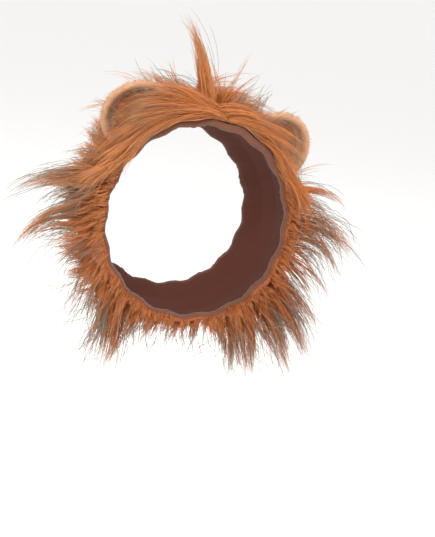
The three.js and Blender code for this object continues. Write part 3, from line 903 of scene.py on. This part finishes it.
def hood_sheet(material):
    """Backing cloth: an open tube, shaped to the hood and given its thickness."""
    deselect()
    bpy.ops.mesh.primitive_cylinder_add(
        vertices=SHEET_STEPS, radius=1, depth=1, end_fill_type="NOTHING"
    )
    piece = bpy.context.object
    piece.name = "hood_backing_cloth"
    bpy.ops.object.mode_set(mode="EDIT")
    bpy.ops.mesh.select_all(action="SELECT")
    bpy.ops.mesh.delete(type="ONLY_FACE")
    bpy.ops.object.mode_set(mode="OBJECT")
    work = bmesh.new()
    clocks = np.array([-180 + 360 * i / SHEET_STEPS for i in range(SHEET_STEPS)])
    outward, _ = ring_frame(clocks)
    grid = []
    for r in range(SHEET_ROWS + 1):
        share = r / SHEET_ROWS
        pucker = SHEET_PUCKER * np.sin(np.radians(clocks) * SHEET_PUCKERS + 3 * share)
        line = hood_point(np.full(SHEET_STEPS, share), clocks, 0.0)
        line = line + outward * (pucker * abs(2 * share - 1) ** 2)[:, None]
        grid.append([work.verts.new(p) for p in line])
    cloth = work.loops.layers.uv.new("cloth")
    for r in range(SHEET_ROWS):
        for i in range(SHEET_STEPS):
            n = (i + 1) % SHEET_STEPS
            face = work.faces.new((grid[r][i], grid[r][n], grid[r + 1][n], grid[r + 1][i]))
            for loop, (u, v) in zip(face.loops, ((i, r), (i + 1, r), (i + 1, r + 1), (i, r + 1))):
                loop[cloth].uv = (u / SHEET_STEPS * KNIT_TILES, v / SHEET_ROWS)
    bmesh.ops.recalc_face_normals(work, faces=work.faces)
    work.to_mesh(piece.data)
    work.free()
    piece.location = (0, 0, 0)
    apply_modifier(piece, "SOLIDIFY", thickness=CLOTH_WALL, offset=1)
    bpy.ops.object.shade_smooth()
    finish_piece(piece, material, "hood_knit", "hood_backing")
    return piece


def soft_ear(node, name, material, slot, voxel):
    """A padded ear piece: the solid with its edges rounded as stuffing rounds them."""
    piece = copy_of_node(node, name)
    apply_modifier(piece, "REMESH", mode="VOXEL", voxel_size=voxel)
    apply_modifier(piece, "SMOOTH", factor=0.5, iterations=12)
    bpy.ops.object.shade_smooth()
    finish_piece(piece, material, slot, node)
    return piece


# Nap of the ears: thickness at root and tip, how deep it is rooted, its scatter and bow, and its
# drift upwards
NAP_THICK = (0.32 * MM, 0.16 * MM)
NAP_SUNK = 0.3 * MM
NAP_SCATTER = 0.35
NAP_BOW = 0.2
NAP_DRIFT = 0.25


def make_nap(name, piece, count, length, material, slot, rng):
    """Short nap on a plush piece: tiny hairs that stand off its surface, all brushed one way."""
    mesh = piece.data
    mesh.calc_loop_triangles()
    corners = np.empty(len(mesh.loop_triangles) * 3, np.int32)
    mesh.loop_triangles.foreach_get("vertices", corners)
    places = np.empty(len(mesh.vertices) * 3, np.float32)
    mesh.vertices.foreach_get("co", places)
    triangles = places.reshape(-1, 3)[corners.reshape(-1, 3)].astype(float)
    normal = np.cross(triangles[:, 1] - triangles[:, 0], triangles[:, 2] - triangles[:, 0])
    area = np.linalg.norm(normal, axis=1)
    pick = rng.choice(len(area), count, p=area / area.sum())
    a, b = rng.uniform(0, 1, (2, count, 1))
    fold = a + b > 1
    a, b = np.where(fold, 1 - a, a), np.where(fold, 1 - b, b)
    corner = triangles[pick]
    root = corner[:, 0] + a * (corner[:, 1] - corner[:, 0]) + b * (corner[:, 2] - corner[:, 0])
    out = normal[pick] / area[pick][:, None]
    heading = out + rng.normal(0, NAP_SCATTER, (count, 3)) + np.array([0, 0, NAP_DRIFT])
    heading /= np.linalg.norm(heading, axis=1)[:, None]
    reach = length * rng.uniform(0.6, 1.2, (count, 1, 1))
    t = np.linspace(0, 1, 4)[None, :, None]
    bow = rng.normal(0, NAP_BOW, (count, 1, 3)) * t**2
    paths = (root - out * NAP_SUNK)[:, None] + reach * (heading[:, None] * t + bow)
    tone = rng.normal(0.5, 0.2, count).clip(0, 1)
    nap = hair_mesh(name, paths, 2, *NAP_THICK, rng, tone)
    finish_piece(nap, material, slot)
    return nap


# The mane

# Rim and cup of an ear as shares of its radius, and the heights over its face, back and front,
# that strands keep out of
EAR_RIM_FROM = 0.8
EAR_RIM_TO = 1.04
EAR_CUP_TO = 0.9
EAR_RIM_HEIGHTS = (-4 * MM, 6 * MM)
EAR_CUP_HEIGHTS = (-16 * MM, 2 * MM)
# Part of the cup that is combed clear, by ear: above EAR_CLEAR_FROM and outwards of EAR_CLEAR_TO,
# with EAR_STRAYS of the hairs left over it, up to EAR_CLEAR_HEIGHT in front
EAR_CLEAR_FROM = -0.1
EAR_CLEAR_TO = {-1: 0.15, 1: -0.1}
EAR_STRAYS = {-1: 0.25, 1: 0.12}
EAR_CLEAR_HEIGHT = 45 * MM

STRAY_REACH = 13 * MM
HEM_CLEARANCE = 1 * MM

# Tone of the strands: its middle, how far it drifts round the ring as painted light and shade, its
# scatter, and the clock angle where the painted light is brightest
TONE_MIDDLE = 0.52
PAINTED_LIGHT_DRIFT = 0.18
TONE_SCATTER = 0.14
PAINTED_LIGHT_CLOCK = -40

SIDES = (-290, -66)
ALL_ROUND = (-180, 180)
BROW = (-66, 66)
# Spots below and behind the ears, where the combing leaves little pile
BELOW_LEFT_EAR = (60, 98)
BELOW_RIGHT_EAR = (-98, -56)
# All guard hairs are kept beyond this clock angle, and this share of them within it
GUARD_CLOCK = 48
BROW_GUARDS = 0.6


def ear_frames():
    """Seat and basis of each ear: across, towards its tip, and out of its face."""
    for side in (-1, 1):
        clock = side * EAR_CLOCK + EAR_SKEW
        seat = hood_point(np.array(0.0), np.array(float(clock)), CLOTH_WALL + EAR_CENTRE_RISE)
        seat[1] += EAR_SETBACK
        tip = Vector((math.sin(math.radians(clock)), 0, math.cos(math.radians(clock))))
        face = Vector((0, -1, 0))
        face.rotate(Matrix.Rotation(side * EAR_TURN, 3, tip))
        yield side, seat, np.array([tip.cross(face), tip, face])


def clear_of_ears(paths, rng):
    """Pushes strands out of the ears, and says which ones are combed clear of their faces."""
    kept = np.ones(len(paths), bool)
    for side, seat, basis in ear_frames():
        local = (paths - seat) @ basis.T
        across, up = local[..., 0] / (EAR_WIDTH / 2), local[..., 1] / (EAR_HEIGHT / 2)
        radius = np.hypot(across, up)
        rim = radius > EAR_RIM_FROM
        low, high = [np.where(rim, *pair) for pair in zip(EAR_RIM_HEIGHTS, EAR_CUP_HEIGHTS)]
        z = local[..., 2]
        in_front = z > (high + low) / 2
        bare = (up > EAR_CLEAR_FROM) & (side * across > EAR_CLEAR_TO[side])
        covering = (radius < EAR_CUP_TO) & bare & in_front & (z < EAR_CLEAR_HEIGHT)
        kept &= ~covering.any(1) | (rng.uniform(0, 1, len(paths)) < EAR_STRAYS[side])
        blocked = (radius < EAR_RIM_TO) & (z > low) & (z < high)
        local[..., 2] = np.where(blocked, np.where(in_front, high, low), z)
        paths = local @ basis + seat
    return paths, kept


def clear_of_opening(paths):
    """Pushes strands out of the hood's inside and off the hem where it shows, at the brow."""
    x, y, z = paths[..., 0], paths[..., 1], paths[..., 2] - RING_CENTRE_Z
    clock = np.degrees(np.arctan2(x, z))
    share = (y - FACE_EDGE_Y - CHIN_SETBACK * lowness(clock)) / hood_depth(clock)
    cover = np.interp(clock, COVER_CLOCK, COVER)
    ahead = HEM_CLEARANCE + HEM_STANDS * (1 - cover)
    wall = hood_point(np.clip(share, 0, 1), clock, np.where(share < 0, ahead, CLOTH_WALL))
    least = np.hypot(wall[..., 0], wall[..., 2] - RING_CENTRE_Z)
    push = np.maximum(1, least / np.maximum(np.hypot(x, z), 1 * MM))
    return np.stack([x * push, y, z * push + RING_CENTRE_Z], -1)


def within_reach(paths):
    """Which strands keep near the model's own outline."""
    low, high = np.array(cad_box)
    return ((paths > low - STRAY_REACH) & (paths < high + STRAY_REACH)).all((1, 2))


def pile_tone(rng, count, clock):
    """Strand tones: a random scatter about the middle, with painted light and shade round the
    ring: paler over the crown and the hood's right, the side towards the key light, and darker and
    redder low on its left.
    """
    base = TONE_MIDDLE + PAINTED_LIGHT_DRIFT * np.cos(np.radians(clock - PAINTED_LIGHT_CLOCK))
    return np.clip(base + rng.normal(0, TONE_SCATTER, count), 0, 1)


def wisp(hairs, spread, splay, shorten, curl):
    """How a guide becomes hairs: so many, their spread in mm, their splay, the least and most of
    the guide's length, and their curl."""
    return dict(per_wisp=hairs, spread=spread * MM, splay=splay, shorten=shorten, curl=curl)


def pile_layers(rng):
    """Layers: piece, material, segments, thickness at root and tip in mm, then groups of guides
    with how they become hairs."""
    less = 1

    def coat(count, run_span, clock_span, reach, deep, stray, tuck=0):
        return coat_wisps(rng, count // less, run_span, clock_span, reach, deep, stray, tuck)

    def locks(rows, per_lock, reach, closing, stray, guard=False):
        return lock_wisps(rng, rows, per_lock / less, reach, closing, stray, guard)

    return (
        (
            "mane_pile_short", "under", 3, 0.5, 0.25,
            (coat(800, (0.0, 1.0), ALL_ROUND, reach=0.32, deep=(0.4, 0.7), stray=0.3),
             wisp(11, spread=5.0, splay=0.05, shorten=(0.6, 1.1), curl=0.02)),
            (coat(240, (0.0, 0.07), ALL_ROUND, reach=0.34, deep=(0.3, 0.6), stray=0.2, tuck=45),
             wisp(8, spread=4.0, splay=0.06, shorten=(0.6, 1.1), curl=0.02)),
        ),
        (
            "mane_pile_brow", "main", 5, 0.4, 0.16,
            (coat(400, (0.0, 0.28), BROW, reach=1.0, deep=(0.2, 0.85), stray=0.0),
             wisp(8, spread=3.0, splay=0.012, shorten=(0.7, 1.0), curl=0.008)),
            (coat(220, (0.2, 0.5), (-34, 12), reach=0.9, deep=(0.3, 0.8), stray=0.1),
             wisp(8, spread=3.5, splay=0.02, shorten=(0.6, 1.0), curl=0.01)),
            (locks(BROW_ROWS, 24, reach=1.0, closing=(0.6, 0.9), stray=0.0),
             wisp(12, spread=3.0, splay=0.012, shorten=(0.6, 1.0), curl=0.008)),
        ),
        (
            "mane_pile_face", "main", 5, 0.42, 0.12,
            (locks(FACE_ROWS, 24, reach=1.06, closing=(0.88, 1.0), stray=0.0),
             wisp(12, spread=2.2, splay=0.012, shorten=(0.5, 1.0), curl=0.01)),
            (locks(THIN_ROWS, 20, reach=1.0, closing=(0.9, 1.0), stray=0.0),
             wisp(9, spread=1.5, splay=0.015, shorten=(0.45, 1.0), curl=0.01)),
            (coat(110, (0.0, 0.25), SIDES, reach=0.5, deep=(0.4, 0.7), stray=0.2, tuck=20),
             wisp(8, spread=4.0, splay=0.04, shorten=(0.6, 1.0), curl=0.015)),
        ),
        (
            "mane_pile_back", "main", 4, 0.45, 0.16,
            (locks(REST_ROWS, 14, reach=1.0, closing=(0.75, 1.0), stray=0.1),
             wisp(9, spread=4.0, splay=0.03, shorten=(0.5, 1.0), curl=0.015)),
            (coat(380, (0.3, 1.0), ALL_ROUND, reach=1.1, deep=(0.5, 0.9), stray=0.1),
             wisp(11, spread=5.0, splay=0.02, shorten=(0.5, 1.0), curl=0.015)),
            (coat(170, (0.78, 1.0), ALL_ROUND, reach=0.7, deep=(0.4, 0.95), stray=0.3),
             wisp(10, spread=5.0, splay=0.03, shorten=(0.5, 1.0), curl=0.02)),
            *(
                (coat(26, (0.12, 0.46), below, reach=0.8, deep=(0.4, 0.8), stray=0.2),
                 wisp(9, spread=5.0, splay=0.02, shorten=(0.5, 1.0), curl=0.02))
                for below in (BELOW_LEFT_EAR, BELOW_RIGHT_EAR)
            ),
        ),
        (
            "mane_guard_face", "guard", 5, 0.46, 0.36,
            (locks(FACE_ROWS, 15, reach=1.16, closing=(0.3, 0.9), stray=0.55, guard=True),
             wisp(3, spread=7.0, splay=0.05, shorten=(0.6, 1.05), curl=0.02)),
            (locks(THIN_ROWS, 16, reach=1.2, closing=(0.2, 0.8), stray=0.8, guard=True),
             wisp(2, spread=6.0, splay=0.06, shorten=(0.6, 1.05), curl=0.03)),
            (coat(150, (0.0, 0.35), SIDES, reach=1.6, deep=(0.4, 0.7), stray=1.2),
             wisp(2, spread=8.0, splay=0.06, shorten=(0.7, 1.05), curl=0.03)),
            (coat(130, (0.05, 0.42), (-56, 56), reach=0.8, deep=(0.6, 0.9), stray=2.0),
             wisp(3, spread=8.0, splay=0.06, shorten=(0.7, 1.05), curl=0.02)),
        ),
        (
            "mane_guard_back", "guard", 5, 0.38, 0.2,
            (locks(REST_ROWS, 8, reach=1.15, closing=(0.1, 0.7), stray=0.8, guard=True),
             wisp(5, spread=6.0, splay=0.08, shorten=(0.75, 1.05), curl=0.03)),
            (coat(140, (0.4, 1.0), ALL_ROUND, reach=1.1, deep=(0.4, 0.7), stray=1.0),
             wisp(4, spread=5.0, splay=0.08, shorten=(0.8, 1.05), curl=0.03)),
        ),
    )


def make_pile(materials):
    """The mane in layers, from the short dense pile out to the long guard hairs."""
    rng = np.random.default_rng(11)
    pieces = []
    for name, kind, segments, root, tip, *groups in pile_layers(rng):
        blocks = []
        clocks = []
        for (guides, clock), how in groups:
            blocks.append(hair_block(rng, guides, **how))
            clocks.append(np.repeat(clock, how["per_wisp"]))
        hairs, kept = clear_of_ears(clear_of_opening(np.concatenate(blocks)), rng)
        clock = np.concatenate(clocks)
        kept &= within_reach(hairs)
        if kind == "guard":
            kept &= (abs(clock) > GUARD_CLOCK) | (rng.uniform(0, 1, len(hairs)) < BROW_GUARDS)
        hairs, clock = hairs[kept], clock[kept]
        tone = pile_tone(rng, len(hairs), clock)
        piece = hair_mesh(name, hairs, segments, root * MM, tip * MM, rng, tone)
        finish_piece(piece, materials[kind], "long_pile")
        pieces.append(piece)
    return pieces


def make_ears():
    """Two padded ears, each a plush shell and an inner panel with their nap."""
    rim = plush_material("sheared_plush_tan", "#cda07c", "#b07d58", 0.8)
    # The inner panel's plush and nap are drawn a darker orange than the shell's tan: painted shade
    # in the ear's cup
    inner = plush_material("sheared_plush_orange", "#ad7046", "#965a34", 0.8)
    tan = ((0, "#a06c48"), (0.5, "#c39372"), (1, "#e2bf9f"))
    orange = ((0, "#8e522a"), (0.5, "#aa6a3e"), (1, "#c3865a"))
    rim_nap = pile_material("plush_nap_tan", tan, "#dcb696", 0.2, 1.0, 0.7)
    inner_nap = pile_material("plush_nap_orange", orange, "#b67c4e", 0.2, 1.0, 0.7)
    rng = np.random.default_rng(29)
    # part, solid, plush, nap, slot, grain of the surface, and count and length of the nap
    parts = (
        ("shell", "back", rim, rim_nap, "ear_plush", 1.6 * MM, 3600, 2.4 * MM),
        ("panel", "front", inner, inner_nap, "ear_inner_plush", 1.2 * MM, 2800, 2.2 * MM),
    )
    for side in ("left", "right"):
        padded = [
            soft_ear(f"ear_{side}_{solid}", f"ear_{side}_{part}", plush, slot, grain)
            for part, solid, plush, _, slot, grain, _, _ in parts
        ]
        for piece, (part, _, _, nap, slot, _, count, length) in zip(padded, parts):
            make_nap(f"ear_{side}_{part}_nap", piece, count, length, nap, slot, rng)


def make_costume():
    orange = ((0, "#87431f"), (0.35, "#b8652f"), (0.65, "#cb7c42"), (1, "#dc9c68"))
    materials = {
        # The short pile, with worn and paler tips
        "under": pile_material("acrylic_pile_under", orange, "#b87a4c", 0.2, 1.0, 0.6),
        # The long pile, with pale ends
        "main": pile_material("acrylic_pile_main", orange, "#b88d6a", 0.66, 1.0, 0.55),
        # The guard hairs, which turn grey brown soon after the root
        "guard": pile_material("acrylic_pile_guard", orange, "#857665", 0.14, 0.46, 0.55),
    }
    # Dense underfur of the same fibre, a dull and darker orange between the hairs: painted shade
    # deep in the fur
    underfur_shade = plush_material("underfur_painted_shade", "#a45a2c", "#6e3618", 1.2)
    # Brushed cloth, folded over the elastic: smooth and matt, its orange brown drawn as a dark
    # brown, which is painted shade under the fur's lip
    hem_cloth = plush_material("brushed_hem_polyester", "#74442a", "#542c1a", 0.9)
    backing = hood_sheet(knit_material())
    hems = [
        hem_roll("face_hem_roll", "face_hem", 0.0, -1, FACE_HEM_DEPTH, hem_cloth),
        hem_roll("neck_hem_roll", "neck_hem", 1.0, 1, NECK_HEM_DEPTH, hem_cloth),
    ]
    base = shaded_underfur_base(underfur_shade)
    make_ears()
    pile = make_pile(materials)


place_camera()
make_stage()
make_costume()
